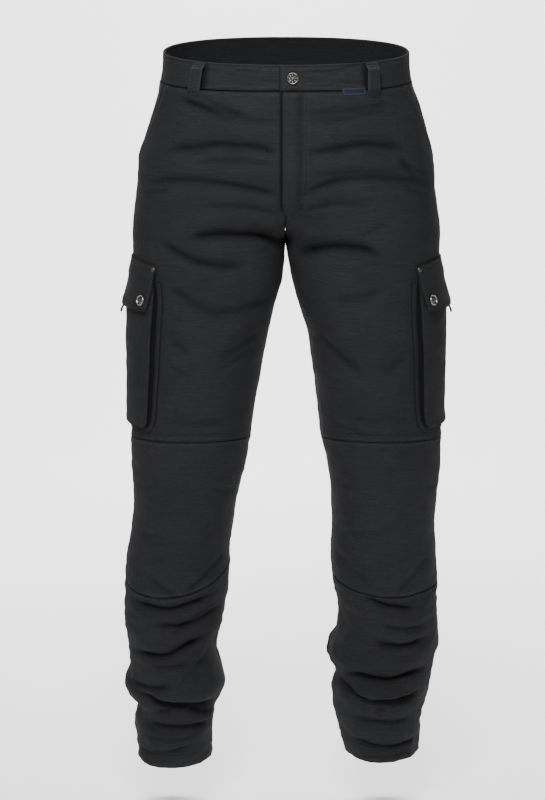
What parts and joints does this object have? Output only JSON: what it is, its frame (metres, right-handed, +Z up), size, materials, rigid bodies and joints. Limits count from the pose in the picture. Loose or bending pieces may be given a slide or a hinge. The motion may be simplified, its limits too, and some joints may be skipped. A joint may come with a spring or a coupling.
{
  "type": "cargo trousers",
  "caption": "Charcoal canvas cargo trousers, filled out with no wearer: lapped fly, belt loops, slant hip pockets, flapped bellows pockets on the thighs, shaped knee panels, creased lower legs.",
  "frame": {"origin": "centre of the waistband's top rim, where the wearer's waist holds the trousers up", "axes": "+Z up the body, the front towards -Y, the wearer's left leg at +X"},
  "size_m": [0.5016, 0.2645, 1.1051],
  "materials": {
    "canvas": "brushed cotton canvas, charcoal, faint sheen",
    "label": "woven ribbon, bare",
    "metal": "antique silver",
    "tab": "matt moulded"
  },
  "bodies": {
    "root": {"front_thigh_R": "canvas", "front_thigh_L": "canvas", "front_knee_R": "canvas", "front_knee_L": "canvas", "front_shin_R": "canvas", "front_shin_L": "canvas", "back_R": "canvas", "back_L": "canvas", "hip_pocket_facing_R": "canvas", "hip_pocket_facing_L": "canvas", "fly_placket": "canvas", "waistband_front_R": "canvas", "waistband_front_L": "canvas", "waistband_back": "canvas", "belt_loop_front_R": "canvas", "belt_loop_front_L": "canvas", "belt_loop_side_R": "canvas", "belt_loop_side_L": "canvas", "belt_loop_back": "canvas", "cargo_pocket_face_R": "canvas", "cargo_pocket_face_L": "canvas", "cargo_gusset_R": "canvas", "cargo_gusset_L": "canvas", "cargo_flap_R": "canvas", "cargo_flap_L": "canvas", "waistband_label": "label", "waist_button": "metal", "flap_snap_front_R": "metal", "flap_snap_front_L": "metal", "flap_snap_rear_R": "metal", "flap_snap_rear_L": "metal", "flap_rivet_front_R": "metal", "flap_rivet_front_L": "metal", "flap_rivet_rear_R": "metal", "flap_rivet_rear_L": "metal", "pull_tab_R": "tab", "pull_tab_L": "tab"}
  },
  "joints": []
}
